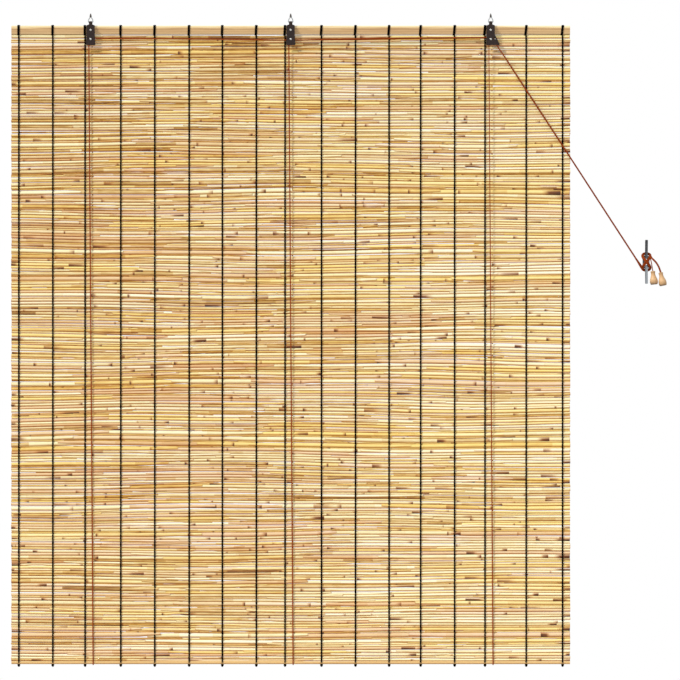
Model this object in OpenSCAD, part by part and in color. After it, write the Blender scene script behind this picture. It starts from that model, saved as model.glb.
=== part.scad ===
// Reed roll up blind: a reed mat on warp cords, hung from three screw eyes by riveted pulley cases,
// with lift cords, a cord lock in the right case, a wall cleat and two turned tassels.
// The front faces -Y. The origin is on the middle screw eye's axis, at the ceiling.

/* [Reed mat] */
// Width of the mat
mat_w = 1400; // [1300:10:1800]
// Height from the head slat's top to the bottom edge
blind_h = 1600; // [800:10:2400]
// Height of one row of reeds
reed_pitch = 6.8; // [6:0.1:9]
// Thickness of the thickest reeds
reed_d = 6.2; // [5:0.1:7]
// Thickness of the thinnest reeds
reed_d_min = 4.8; // [3:0.1:5]
// Thickness of the mat between two rows
web_t = 2; // [1.5:0.1:3]
// Gaps between rows, in each bay between two warp cords
gaps_per_bay = 7; // [1:1:7]
// Height of a gap
gap_h = 1.6; // [0.6:0.1:2]

/* [Slats] */
// Height of the head slat
slat_h = 22.8; // [16:0.2:40]
// Thickness of the head slat
slat_t = 8; // [7.5:0.1:12]
// Rounding of the head slat's long edges
slat_r = 2.5; // [0.5:0.1:3.5]
// Drop from the hinge line in the screw eyes to the head slat's top
slat_drop = 8.4; // [7:0.1:20]
// Height of the bottom batten
batten_h = 7.5; // [6:0.1:20]

/* [Warp cords] */
// Thickness of a warp cord
warp_d = 2.6; // [1.5:0.1:2.6]
// Distance of the outer warp cords from the mat's edges
warp_margin = 18.8; // [10:0.1:40]
// Width of the wrap round the head slat
wrap_w = 6; // [4:0.1:9]
// Thickness of the wrap round the head slat
wrap_t = 2.5; // [2.2:0.1:4]
// Diameter of the knots below the bottom batten
knot_d = 6.5; // [4:0.1:8]

/* [Hangers] */
// Distance of the outer hangers from the mat's edges
hanger_margin = 199; // [150:1:260]
// Thickness of the case's steel strap
strap_t = 1; // [0.6:0.1:1.6]
// Gap between a case's front and back legs
leg_gap = 8.8; // [8.6:0.1:12]
// Width of a case below its shoulders
case_w = 20.4; // [18:0.2:24]
// How much wider a plain case is at its foot
case_flare = 2.6; // [0:0.2:4]
// How far the lock's foot stands out to the right of a plain case's foot
lock_flare = 11; // [7:0.1:12]
// Width of a case's neck
neck_w = 8.4; // [6:0.1:8.6]
// Height of the case below the sheave's axle
case_foot_drop = 14.6; // [12:0.1:20]
// Distance from the fixing rivet to the sheave's axle
rivet_pitch = 23; // [22:0.1:30]
// Diameter of the rivet shanks
rivet_d = 4; // [3:0.1:4.4]
// Diameter of the rivet heads
rivet_head_d = 5.6; // [5:0.1:8]
// Height of the rivet heads
rivet_head_h = 1.3; // [0.8:0.1:2]
// Diameter of the spacer tube round the fixing rivet
spacer_d = 7; // [6:0.1:10]
// Diameter of the washer behind the head slat
washer_d = 11; // [10:0.1:16]
// Thickness of the washer behind the head slat
washer_t = 0.8; // [0.5:0.1:2]

/* [Sheaves] */
// Radius at which a cord's middle runs on a sheave
sheave_pitch_r = 4.7; // [4.5:0.1:6]
// Diameter of a sheave's flanges
sheave_d = 13.2; // [12:0.1:15]
// Thickness of a sheave's flange at its rim
sheave_flange_t = 0.8; // [0.5:0.1:1]

/* [Cord lock] */
// Diameter of the toothed roller
roller_d = 5.2; // [4:0.1:6]
// Number of teeth on the roller
roller_teeth = 14; // [10:1:20]
// Diameter of the roller's pin
pin_d = 2; // [1.5:0.1:2.5]
// Travel of the pin along its slots
pin_travel = 5; // [3:0.1:6]
// Room between the cords and the roller when the lock is free
pin_free_gap = 1.05; // [0.6:0.05:1.5]

/* [Screw eyes] */
// Diameter of the wire
eye_wire_d = 2.2; // [1.6:0.1:2.6]
// Outer width of the loop's foot
eye_w = 15; // [14:0.1:18]
// Outer height of the loop
eye_h = 15; // [14:0.1:20]
// Diameter of the threaded shank
shank_d = 4.6; // [3:0.1:6]
// Length of the shank's straight part
shank_l = 4.6; // [3:0.1:30]
// Length of the shank's point
shank_tip_l = 3.6; // [2:0.1:6]

/* [Cords] */
// Diameter of the lift and pull cords
cord_d = 2; // [1.6:0.1:2.1]
// Distance between cords that run side by side
cord_lane = 2.2; // [2.2:0.05:2.3]

/* [Cleat] */
// Distance of the cleat's middle from the mat's right edge
cleat_side = 191; // [160:1:260]
// Distance of the cleat's middle below the ceiling
cleat_drop = 614.3; // [560:0.1:680]
// Distance from the mat's middle plane to the wall
wall_gap = 12; // [11:0.5:20]
// Length over the horns
cleat_l = 110; // [90:1:130]
// Width of a horn
horn_w = 7; // [5:0.1:8]
// Thickness of a horn at its root
horn_t = 4.6; // [4:0.1:4.8]
// How far the horns' tips stand forward of the post
horn_rise = 8; // [7:0.1:11]
// Height of the post from the wall
post_h = 19; // [18.5:0.1:22]
// Width of the post
post_w = 8.4; // [7.6:0.1:8.6]
// Length of the post
post_l = 24; // [20:0.1:25]
// Width of the base
cleat_base_w = 17.4; // [14:0.1:24]
// Length of the base
cleat_base_l = 34; // [28:0.5:60]
// Thickness of the base
cleat_base_t = 3; // [2:0.1:3.5]
// Diameter of the screw holes
screw_hole_d = 3.6; // [3:0.1:4.4]
// Distance between the screw holes
screw_pitch = 12; // [10:0.1:13]
// How much thinner a horn is at its tip
horn_taper = 1.5; // [0:0.1:2]

/* [Tassels] */
// Height of a tassel
tassel_h = 34; // [28:0.5:45]
// Largest diameter of a tassel
tassel_d = 20; // [16:0.2:26]
// Diameter of a tassel's collar
tassel_collar_d = 12; // [10:0.2:15]
// Diameter of a tassel's waist
tassel_waist_d = 10.4; // [9:0.2:12]
// Diameter of the hollow in a tassel's foot
tassel_cup_d = 10; // [8:0.2:12]
// Depth of the hollow in a tassel's foot
tassel_cup_h = 9; // [7:0.5:14]
// Diameter of the knot in a tassel's hollow
tail_knot_d = 6.5; // [6:0.1:7.5]

/* [Hidden] */
$fn = 32;
// Radial room of a shaft in its hole, and of a rivet in its plates
shaft_fit = 0.05;
// Room beside a sheave or roller between the legs
side_fit = 0.2;
// Room between a cord or thread and what it lies on
cord_fit = 0.15;
// Room between a cord and the sheave that it turns
groove_fit = 0.2;
// Room between the case's fold and the wire that it hangs on
fold_fit = 0.25;
// Room between two cord ends that meet, and between a knot and its seat
end_fit = 0.1;
// Room between a tassel's bore and the cords in it
bore_fit = 0.3;
// Space between a wrap or case and its neighbour along the slat
wrap_space = 1;

// Levels, from the ceiling down
eye_wire_r = eye_wire_d / 2;
hinge_z = -(eye_h - eye_wire_r);
slat_top = hinge_z - slat_drop;
slat_foot = slat_top - slat_h;
mat_top = slat_foot - wrap_t;
blind_foot = slat_top - blind_h;
mat_foot = blind_foot + batten_h;
fixing_z = slat_top - slat_h / 2;
axle_z = fixing_z - rivet_pitch;
case_foot = axle_z - case_foot_drop;

// Depths, from the front back: the sheaves' middle plane is at 0
leg_in = leg_gap / 2;
leg_out = leg_in + strap_t;
slat_front = leg_out;
mat_y = slat_front + slat_t / 2;
slat_back = slat_front + slat_t;
wall_y = mat_y + wall_gap;

// The mat's rows and its warp cords
reed_rows = floor((mat_top - mat_foot) / reed_pitch);
row_h = (mat_top - mat_foot) / reed_rows;
crests = rands(reed_d_min / 2, reed_d / 2, reed_rows, 7);
thread_y = reed_d / 2 + warp_d / 2 + cord_fit;
// Sideways wander of each warp cord from an even spacing
warp_shift = [0, 0, 0, 0, 0, 1, -1, -1, 0, -8, -8, -9, -15, -15, 0, -6, 0];
warp_count = len(warp_shift);
// The warp cords that sit just left of the hangers
hanger_warps = [2, 8, 14];
warp_pitch = (mat_w - 2 * warp_margin) / (warp_count - 1);
warp_beside = case_w / 2 + wrap_space + wrap_w / 2;
chance = rands(0, 1, 3 * (warp_count - 1) * gaps_per_bay, 21);

// The rivets and the lock's slots
rivet_r = rivet_d / 2;
cord_r = cord_d / 2;
tail_head_h = 0.7;
loop_room = cord_d + 2 * cord_fit;
groove_r = sheave_pitch_r - cord_r - groove_fit;
groove_w = 2 * cord_lane + cord_d + 2 * groove_fit;
sheave_w = leg_gap - 2 * side_fit;
hanger_pitch = mat_w / 2 - hanger_margin;
lock_x = hanger_pitch;
cleat_x = mat_w / 2 + cleat_side;

// The winding's half width, half height and half depth, and how far each pass lies in front of the last
wind_a = 9.5;
wind_b = 21;
wind_depth = 7.5;
wind_layer = 2.4;
// The winding's turns at its start and end, its rings and the first crossing's distance from the post
wind_start = -33;
wind_end = 585;
wind_rings = 60;
wind_gap = 3;
post_front = wall_y - post_h;
wind_mid = post_front - wind_gap + wind_depth + wind_layer / 2;

// The pull cords leave the lock on a straight line to the cleat's lower left
pull_dx = cleat_x + wind_a * sin(2 * wind_start) - lock_x;
pull_dz = axle_z + cleat_drop + wind_b * cos(wind_start);
pull_angle = atan2(pull_dx, pull_dz) - asin(sheave_pitch_r / norm([pull_dx, pull_dz]));
pull_dir = [sin(pull_angle), 0, -cos(pull_angle)];
pull_side = [cos(pull_angle), 0, sin(pull_angle)];
pull_from = [lock_x, 0, axle_z] + sheave_pitch_r * pull_side;
pull_exit = pull_from + pull_dir * (pull_from[2] - case_foot + 1) / cos(pull_angle);
pull_edge = pull_from + pull_dir * (mat_w / 2 + 3 - pull_from[0]) / sin(pull_angle);

// The lock's roller pinches the cords against the sheave at the upper end of its slots
roller_locked_r = sheave_pitch_r + cord_r + roller_d / 2 + cord_fit;
roller_free_r = roller_locked_r + pin_free_gap - cord_fit;
pin_high = [lock_x, 0, axle_z] + roller_locked_r * pull_side + 0.5 * pull_dir;
pin_run = sqrt(pin_travel ^ 2 - (roller_free_r - roller_locked_r) ^ 2);
pin_low = [lock_x, 0, axle_z] + roller_free_r * pull_side + (0.5 + pin_run) * pull_dir;

// Runs of the lift cords in front of the mat: share of the way to the next hanger, rise over the axles
left_run = [[0.028, 2], [0.12, 1.7], [0.4, 0.8], [0.76, -0.6], [0.94, -1.8], [0.974, -2]];
middle_run = [[0.026, -2], [0.06, -1.8], [0.28, 0.6], [0.54, 3], [0.8, 4], [0.958, 4.5]];
// Turns on a sheave where a cord leaves it or comes on to it, in degrees from +X
left_off = 78;
middle_on = 122;
middle_off = 58;
lock_on = 91;

// Tails of the pull cords: x from the cleat's middle, y from the post's front, and height over its middle
near_tail = [[9.4, -4.8, 9], [11, -6.2, 3], [13.2, -6.6, -8], [14.8, -6.6, -18]];
far_tail = [[13, -4.6, 9.6], [17.6, -6.4, 5], [24, -6.8, -1.8], [30.4, -6.8, -12.6], [33.6, -6.8, -21]];
far_turn = 40;
near_tassel_at = [15.6, -6.6, -23];
far_tassel_at = [35.2, -6.8, -26.4];
near_tilt = 6;
far_tilt = 11;
cleat_at = [cleat_x, post_front, -cleat_drop];
near_bore_r = cord_r + bore_fit;
far_bore_r = cord_lane / 2 + cord_r + bore_fit;

sides = ["left", "middle", "right"];
lock = 2;
warp_names = [for (i = [1:warp_count]) str("warp_cord_", i < 10 ? "0" : "", i)];
hanger_pieces = ["case", "screw_eye", "sheave", "axle_rivet", "fixing_rivet", "spacer", "washer",
    "lift_cord", "pull_cord_upper", "pull_cord_lower"];

function hanger_x(h) = (h - 1) * hanger_pitch;
function lane_y(h) = (1 - h) * cord_lane;
function row_z(i) = mat_top - (i + 0.5) * row_h;
function even_warp_x(i) = -mat_w / 2 + warp_margin + i * warp_pitch + warp_shift[i];
function warp_x(i) =
    let (h = search(i, hanger_warps)) len(h) > 0 ? hanger_x(h[0]) - warp_beside : even_warp_x(i);

// Points on an arc about c in a plane, from angle a to angle b in n steps
function arc(c, r, a, b, n = 5) =
    [for (i = [0:n]) let (t = a + (b - a) * i / n) c + r * [cos(t), sin(t)]];
function rounded(w, h, r) = concat(
    arc([w / 2 - r, h / 2 - r], r, 0, 90),
    arc([r - w / 2, h / 2 - r], r, 90, 180),
    arc([r - w / 2, r - h / 2], r, 180, 270),
    arc([w / 2 - r, r - h / 2], r, 270, 360));
function slot(p, q, r) =
    let (a = atan2(q[1] - p[1], q[0] - p[0]))
    concat(arc(q, r, a - 90, a + 90, 8), arc(p, r, a + 90, a + 270, 8));

// Directions and side vectors along a route, carried from ring to ring without twist
function unit(v) = v / norm(v);
function heading(p, i) =
    unit((i > 0 ? unit(p[i] - p[i - 1]) : [0, 0, 0]) + (i < len(p) - 1 ? unit(p[i + 1] - p[i]) : [0, 0, 0]));
function across(t, v) = unit(v - (v * t) * t);
function carried(p, v, i = 0) =
    i == len(p) ? [] : let (n = across(heading(p, i), v)) concat([n], carried(p, n, i + 1));

// The cord over a sheave: x and z on the pitch circle, clockwise as seen from the front
function over_sheave(h, lane, a, b, n = 6) =
    [for (q = arc([hanger_x(h), axle_z], sheave_pitch_r, a, b, n)) [q[0], lane, q[1]]];
function run(h, points, lane) = [for (q = points) [hanger_x(h) + q[0] * hanger_pitch, lane, axle_z + q[1]]];

// The lift cord's eye behind the slat, its drop behind the mat and its turn under the batten
loop_r = rivet_r + cord_r + cord_fit;
turn_r = reed_d / 2 + cord_r + 2 * cord_fit;
turn_x = 6;
function lift_rise(h) = concat(
    [for (q = arc([hanger_x(h), fixing_z], loop_r, 270, 0, 9)) [q[0], slat_back + cord_r + cord_fit, q[1]]],
    [for (q = arc([mat_y, blind_foot + reed_d / 2], turn_r, 0, -180, 6)) [hanger_x(h) + turn_x, q[0], q[1]]]);
function lift_route(h) =
    h == 0 ? concat(lift_rise(0), over_sheave(0, lane_y(0), 180, left_off), run(0, left_run, lane_y(0)),
        over_sheave(1, lane_y(0), middle_on, middle_off, 4), run(1, middle_run, lane_y(0)),
        over_sheave(2, lane_y(0), lock_on, pull_angle, 4), [pull_exit + [0, lane_y(0), 0]])
    : h == 1 ? concat(lift_rise(1), over_sheave(1, lane_y(1), 180, middle_off), run(1, middle_run, lane_y(1)),
        over_sheave(2, lane_y(1), lock_on, pull_angle, 4), [pull_exit])
    : concat(lift_rise(2), over_sheave(2, lane_y(2), 180, pull_angle), [pull_exit + [0, lane_y(2), 0]]);

// The three pull cords turn from one behind the other at the lock to side by side at the cleat
function strand_offset(h, turn) = lane_y(h) * (cos(turn) * [0, 1, 0] - sin(turn) * pull_side);
function upper_route(h) =
    [pull_exit + end_fit * pull_dir + strand_offset(h, 0), pull_edge + strand_offset(h, 0)];

// The winding is a figure of eight round the cleat's horns, each pass one layer further forward
function eight(t) = [wind_a * sin(2 * t), -wind_b * cos(t)];
function eight_dir(t) = unit([2 * wind_a * cos(2 * t), wind_b * sin(t)]);
function wind(h, t) =
    let (d = eight_dir(t), q = eight(t) - lane_y(h) * [-d[1], d[0]])
    [cleat_x + q[0], wind_mid + wind_depth * cos(max(0, 2 * t)) - wind_layer * t / 180, q[1] - cleat_drop];
function tassel_in(at, tilt, s, along) = cleat_at + at + [s * cos(tilt), 0, s * sin(tilt)]
    + along * [sin(tilt), 0, -cos(tilt)];
function shifted(points, dx, dz) = [for (q = points) cleat_at + q + [dx, 0, dz]];

// The near tassel's cord and the far tassel's pair end at a knot under the ceiling of the tassel's hollow
tail_in = tassel_h - tassel_cup_h;
tail_knot_r = tail_knot_d / 2;
function knot_in(bore_r) = tail_in + end_fit + sqrt(tail_knot_r ^ 2 - bore_r ^ 2);
function tail(h) =
    h == 0 ? concat(shifted(near_tail, 0, 0),
        [for (d = [-2, knot_in(near_bore_r)]) tassel_in(near_tassel_at, near_tilt, 0, d)])
    : let (s = (h - 1.5) * cord_lane, end = knot_in(far_bore_r) - (h == 2 ? tail_knot_r + end_fit : 0))
        concat(shifted(far_tail, s * cos(far_turn), s * sin(far_turn)),
            [for (d = [-2, end]) tassel_in(far_tassel_at, far_tilt, s, d)]);
// The pull cords lie behind one another down the slant and turn side by side at its end: share of the way, turn
side_by_side = [[0.86, 8], [0.91, 36], [0.955, 63]];
function lower_route(h) = concat(
    [pull_edge + end_fit * pull_dir + strand_offset(h, 0)],
    [for (q = side_by_side) pull_edge + q[0] * (wind(1, wind_start) - pull_edge) + strand_offset(h, q[1])],
    [for (i = [0:wind_rings]) wind(h, wind_start + (wind_end - wind_start) * i / wind_rings)],
    tail(h));

// Extrudes an outline in y and z along X, about x = 0
module along_x(length) {
    translate([-length / 2, 0, 0]) rotate([90, 0, 90]) linear_extrude(length) children();
}

// Extrudes an outline in x and z forward from y = back
module along_y(back, depth) {
    translate([0, back, 0]) rotate([90, 0, 0]) linear_extrude(depth) children();
}

// Turns a solid of revolution so that its axis points to the front, with its foot at [x, y, z]
module facing_front(x, y, z) {
    translate([x, y, z]) rotate([90, 0, 0]) children();
}

// A round bar between two points
module rod(p, q, d) {
    v = q - p;
    translate(p) rotate([0, acos(v[2] / norm(v)), atan2(v[1], v[0])]) cylinder(d = d, h = norm(v));
}

// A cord along a route
module cord(p, d, ring = 8) {
    n = carried(p, [0.31, 0.52, 0.79]);
    polyhedron(
        points = [for (i = [0:len(p) - 1]) for (k = [0:ring - 1])
            p[i] + d / 2 * (cos(360 * k / ring) * n[i] + sin(360 * k / ring) * cross(heading(p, i), n[i]))],
        faces = concat(
            [[for (k = [0:ring - 1]) k]],
            [for (i = [0:len(p) - 2]) for (k = [0:ring - 1]) let (j = (k + 1) % ring)
                [i * ring + k, (i + 1) * ring + k, (i + 1) * ring + j, i * ring + j]],
            [[for (k = [ring - 1:-1:0]) (len(p) - 1) * ring + k]]));
}

// The mat's wall: a ridge for each row of reeds, front and back
module mat_section() {
    polygon(concat(
        [[-web_t / 2, mat_top]],
        [for (i = [0:reed_rows - 1]) each [
            [-crests[i], row_z(i) + row_h / 4],
            [-crests[i], row_z(i) - row_h / 4],
            [-web_t / 2, row_z(i) - row_h / 2]]],
        [for (i = [reed_rows - 1:-1:0]) each [
            [web_t / 2, row_z(i) - row_h / 2],
            [crests[i], row_z(i) - row_h / 4],
            [crests[i], row_z(i) + row_h / 4]]],
        [[web_t / 2, mat_top]]));
}

// One gap between two rows, at a chance row and place in its bay
module mat_gap(bay, k) {
    c = 3 * (bay * gaps_per_bay + k);
    row = floor((reed_rows - 2) * (k + chance[c]) / gaps_per_bay);
    left = warp_x(bay) + wrap_w;
    room = warp_x(bay + 1) - wrap_w - left;
    length = room * (0.45 + 0.5 * chance[c + 1]);
    translate([left + (room - length) * chance[c + 2], -reed_d, row_z(row) - row_h / 2 - gap_h / 2])
        cube([length, 2 * reed_d, gap_h]);
}

module reed_mat() {
    color("#d8b684") translate([0, mat_y, 0]) difference() {
        along_x(mat_w) mat_section();
        for (bay = [0:warp_count - 2]) for (k = [0:gaps_per_bay - 1]) mat_gap(bay, k);
    }
}

module head_slat() {
    color("#c39a6a") difference() {
        translate([0, mat_y, fixing_z]) along_x(mat_w) polygon(rounded(slat_t, slat_h, slat_r));
        for (h = [0:2]) facing_front(hanger_x(h), slat_back + 1, fixing_z)
            cylinder(r = rivet_r + shaft_fit, h = slat_t + 2);
    }
}

module bottom_batten() {
    r = reed_d / 2;
    color("#c8935a") translate([0, mat_y, 0]) along_x(mat_w)
        polygon(concat([[-r, mat_foot], [r, mat_foot]], arc([0, blind_foot + r], r, 0, -180, 10)));
}

// One warp cord: its wrap round the head slat, its runs down both faces of the mat and its knot
module warp_cord(i) {
    foot = blind_foot - warp_d / 2 - cord_fit;
    color("#1d1a18") translate([warp_x(i), mat_y, 0]) {
        translate([0, 0, fixing_z]) along_x(wrap_w) difference() {
            polygon(rounded(slat_t + 2 * wrap_t, slat_h + 2 * wrap_t, wrap_t));
            square([slat_t, slat_h], center = true);
        }
        for (s = [-1, 1]) translate([0, s * thread_y, foot])
            cylinder(d = warp_d, h = mat_top + wrap_t / 2 - foot, $fn = 8);
        translate([0, 0, foot]) rotate([90, 0, 0])
            cylinder(d = warp_d, h = 2 * thread_y, center = true, $fn = 8);
        translate([0, -thread_y, foot - knot_d / 5]) sphere(d = knot_d, $fn = 24);
    }
}

// A case's outline from the front: neck, shoulders, body and foot
module case_outline(h) {
    top = hinge_z + eye_wire_r + fold_fit + strap_t;
    neck_r = 2;
    corner_r = 1.6;
    body = case_w / 2;
    foot = (case_w + case_flare) / 2;
    right_foot = foot + (h == lock ? lock_flare : 0);
    shoulder = slat_top + corner_r / 2;
    polygon(concat(
        arc([neck_w / 2 - neck_r, top - neck_r], neck_r, 90, 0),
        [[neck_w / 2, shoulder + corner_r]],
        arc([body - corner_r, shoulder - corner_r], corner_r, 90, 0),
        [[body, slat_foot]],
        arc([right_foot - corner_r, case_foot + corner_r], corner_r, 0, -90),
        arc([corner_r - foot, case_foot + corner_r], corner_r, -90, -180),
        [[-body, slat_foot]],
        arc([corner_r - body, shoulder - corner_r], corner_r, 180, 90),
        [[-neck_w / 2, shoulder + corner_r]],
        arc([neck_r - neck_w / 2, top - neck_r], neck_r, 180, 90)));
}

// A strap folded over the screw eye's wire, from the side
module strap_section() {
    fold_z = hinge_z + eye_wire_r + fold_fit - leg_in;
    polygon(concat(
        [[leg_out, case_foot - 1]],
        arc([0, fold_z], leg_out, 0, 180, 16),
        [[-leg_out, case_foot - 1], [-leg_in, case_foot - 1]],
        arc([0, fold_z], leg_in, 180, 0, 16),
        [[leg_in, case_foot - 1]]));
}

module case(h) {
    color("#4a443e") translate([hanger_x(h), 0, 0]) difference() {
        intersection() {
            along_x(2 * case_w + 2 * lock_flare) strap_section();
            along_y(leg_out + 1, 2 * leg_out + 2) case_outline(h);
        }
        for (z = [fixing_z, axle_z]) facing_front(0, leg_out + 1, z)
            cylinder(r = rivet_r + shaft_fit, h = 2 * leg_out + 2);
        if (h == lock) translate([-hanger_x(h), 0, 0]) along_y(leg_out + 1, 2 * leg_out + 2)
            polygon(slot([pin_low[0], pin_low[2]], [pin_high[0], pin_high[2]], pin_d / 2 + shaft_fit));
    }
}

// A rivet along the front direction: its tail head, its shank and its domed head
module rivet(length, tail_d, tail_h) {
    rotate_extrude() polygon(concat(
        [[0, -tail_h], [tail_d / 2, -tail_h], [tail_d / 2, 0], [rivet_r, 0], [rivet_r, length]],
        [for (i = [0:6]) [rivet_head_d / 2 * cos(15 * i), length + rivet_head_h * sin(15 * i)]]));
}

module axle_rivet(h) {
    color("#c9c9c6") facing_front(hanger_x(h), leg_out, axle_z) rivet(2 * leg_out, rivet_head_d, tail_head_h);
}

module fixing_rivet(h) {
    back = slat_back + loop_room + washer_t;
    color("#c9c9c6") facing_front(hanger_x(h), back, fixing_z)
        rivet(back + leg_out, rivet_head_d, rivet_head_h);
}

// A tube or washer round a rivet
module ring(d, length) {
    difference() {
        cylinder(d = d, h = length);
        translate([0, 0, -1]) cylinder(r = rivet_r + shaft_fit, h = length + 2);
    }
}

module spacer(h) {
    color("#8d8f90") facing_front(hanger_x(h), leg_in, fixing_z) ring(spacer_d, leg_gap);
}

module washer(h) {
    color("#a9abab") facing_front(hanger_x(h), slat_back + loop_room + washer_t, fixing_z)
        ring(washer_d, washer_t);
}

// A sheave wide enough for three cords side by side
module sheave(h) {
    bore = rivet_r + shaft_fit;
    rim = sheave_d / 2;
    color("#2c2a28") facing_front(hanger_x(h), sheave_w / 2, axle_z) rotate_extrude() polygon([
        [bore, 0], [rim, 0], [rim, sheave_flange_t / 2], [groove_r, (sheave_w - groove_w) / 2],
        [groove_r, (sheave_w + groove_w) / 2], [rim, sheave_w - sheave_flange_t / 2], [rim, sheave_w],
        [bore, sheave_w]]);
}

module lock_pin() {
    color("#8d8f90") facing_front(pin_low[0], leg_out - side_fit, pin_low[2])
        cylinder(d = pin_d, h = 2 * leg_out);
}

module lock_roller() {
    length = groove_w - 2 * side_fit;
    tip = roller_d / 2;
    color("#b08d4a") facing_front(pin_low[0], length / 2, pin_low[2]) difference() {
        linear_extrude(length) polygon([for (i = [0:2 * roller_teeth - 1])
            (i % 2 == 0 ? tip : tip * 0.86) * [cos(180 * i / roller_teeth), sin(180 * i / roller_teeth)]]);
        translate([0, 0, -1]) cylinder(d = pin_d + 2 * shaft_fit, h = length + 2);
    }
}

// A wire loop with a straight foot for the case, on a pointed shank
module screw_eye(h) {
    foot = eye_w / 2 - eye_wire_r;
    apex = eye_wire_r * 0.8;
    bend_d = eye_wire_d * 1.04;
    color("#b9bbba") translate([hanger_x(h), 0, 0]) {
        rod([-foot, 0, hinge_z], [foot, 0, hinge_z], eye_wire_d);
        for (s = [-1, 1]) {
            rod([s * foot, 0, hinge_z], [s * apex, 0, -eye_wire_r], eye_wire_d);
            translate([s * foot, 0, hinge_z]) sphere(d = bend_d, $fn = 24);
        }
        translate([0, 0, -eye_wire_d]) cylinder(d1 = eye_wire_d * 1.6, d2 = shank_d, h = eye_wire_d);
        cylinder(d = shank_d, h = shank_l);
        translate([0, 0, shank_l]) cylinder(d1 = shank_d, d2 = shank_d / 8, h = shank_tip_l);
    }
}

module lift_cord(h) {
    color("#6e3a1c") cord(lift_route(h), cord_d);
}

module pull_cord_upper(h) {
    color("#6e3a1c") cord(upper_route(h), cord_d);
}

module pull_cord_lower(h) {
    color("#6e3a1c") {
        cord(lower_route(h), cord_d);
        if (h == 0) translate(tassel_in(near_tassel_at, near_tilt, 0, knot_in(near_bore_r)))
            sphere(d = tail_knot_d);
        if (h == 1) translate(tassel_in(far_tassel_at, far_tilt, 0, knot_in(far_bore_r)))
            sphere(d = tail_knot_d);
    }
}

// The cleat's front face and the underside of its horns, as depths in front of the post's front
function horn_front(z) = -horn_rise * max(0, (abs(z) - post_l / 2) / (cleat_l / 2 - post_l / 2));
function horn_under(z) = horn_front(z) + horn_t - horn_taper * abs(z) / (cleat_l / 2);

module horn_section() {
    root = post_l / 2 - 1;
    bend = post_l / 2;
    tip = cleat_l / 2;
    levels = [-tip, -bend, bend, tip];
    polygon(concat(
        [for (z = levels) [horn_front(z), z]],
        [for (z = [tip, bend, root, -root, -bend, -tip]) [horn_under(z), z]]));
}

module cord_cleat() {
    color("#7d7f80") translate(cleat_at) difference() {
        union() {
            intersection() {
                along_x(horn_w) horn_section();
                along_y(post_h, 2 * post_h) polygon(rounded(horn_w + 1, cleat_l, horn_w * 0.4));
            }
            along_y(post_h, post_h - horn_t / 4) polygon(rounded(post_w, post_l, post_w * 0.48));
            along_y(post_h, cleat_base_t) polygon(rounded(cleat_base_w, cleat_base_l, cleat_base_w * 0.48));
        }
        for (s = [-1, 1]) facing_front(0, post_h + 1, s * screw_pitch / 2)
            cylinder(d = screw_hole_d, h = post_h + horn_rise + 2);
    }
}

// A turned tassel below z = 0: collar, waist, bell and a hollow foot for the cord's knot
module tassel(at, tilt, bore) {
    collar = 5;
    waist_z = tassel_h - collar - 2;
    bell_z = tassel_h * 0.24;
    foot_r = tassel_d * 0.38;
    waist_r = tassel_waist_d / 2;
    bell_r = tassel_d / 2;
    color("#ddb482") translate(cleat_at + at) rotate([0, -tilt, 0]) translate([0, 0, -tassel_h])
        rotate_extrude() polygon(concat(
            [[bore, tassel_cup_h], [tassel_cup_d / 2, tassel_cup_h], [tassel_cup_d / 2, 0]],
            [for (i = [0:5]) [foot_r + (bell_r - foot_r) * sin(18 * i), bell_z * (1 - cos(18 * i))]],
            [for (i = [1:8]) [waist_r + (bell_r - waist_r) * (1 + cos(22.5 * i)) / 2,
                bell_z + (waist_z - bell_z) * i / 8]],
            arc([tassel_collar_d / 2 - collar / 2, tassel_h - collar / 2], collar / 2, -50, 90, 6),
            [[bore, tassel_h]]));
}

head_slat();
reed_mat();
bottom_batten();
lock_pin();
lock_roller();
cord_cleat();
tassel(near_tassel_at, near_tilt, near_bore_r);  // near_tassel
tassel(far_tassel_at, far_tilt, far_bore_r);  // far_tassel
for (i = [0:warp_count - 1]) warp_cord(i);
for (h = [0:2]) {
    case(h);
    screw_eye(h);
    sheave(h);
    axle_rivet(h);
    fixing_rivet(h);
    spacer(h);
    washer(h);
    lift_cord(h);
    pull_cord_upper(h);
    pull_cord_lower(h);
}
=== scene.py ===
import math
import random

import bmesh
import bpy
import numpy as np
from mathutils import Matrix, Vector


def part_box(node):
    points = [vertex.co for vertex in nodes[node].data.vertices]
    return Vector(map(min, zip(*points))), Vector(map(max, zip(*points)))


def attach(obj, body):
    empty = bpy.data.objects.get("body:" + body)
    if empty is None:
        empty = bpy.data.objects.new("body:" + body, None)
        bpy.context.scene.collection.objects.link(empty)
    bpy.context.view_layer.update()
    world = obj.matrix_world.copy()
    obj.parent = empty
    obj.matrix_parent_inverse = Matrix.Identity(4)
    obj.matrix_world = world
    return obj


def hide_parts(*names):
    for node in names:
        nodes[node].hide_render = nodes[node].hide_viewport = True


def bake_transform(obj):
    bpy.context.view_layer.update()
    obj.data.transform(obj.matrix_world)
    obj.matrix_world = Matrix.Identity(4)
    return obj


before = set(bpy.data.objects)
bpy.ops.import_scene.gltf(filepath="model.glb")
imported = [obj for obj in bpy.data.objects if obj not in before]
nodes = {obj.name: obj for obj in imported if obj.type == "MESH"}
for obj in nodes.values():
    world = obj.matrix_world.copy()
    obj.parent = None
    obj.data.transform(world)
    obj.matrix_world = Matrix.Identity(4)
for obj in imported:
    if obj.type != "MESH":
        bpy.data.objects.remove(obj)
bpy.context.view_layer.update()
scene = bpy.context.scene
scene.view_settings.view_transform = "Standard"
mm = 0.001
hangers = ["left", "middle", "right"]
print("frame loaded:", len(nodes), "nodes")


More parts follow.
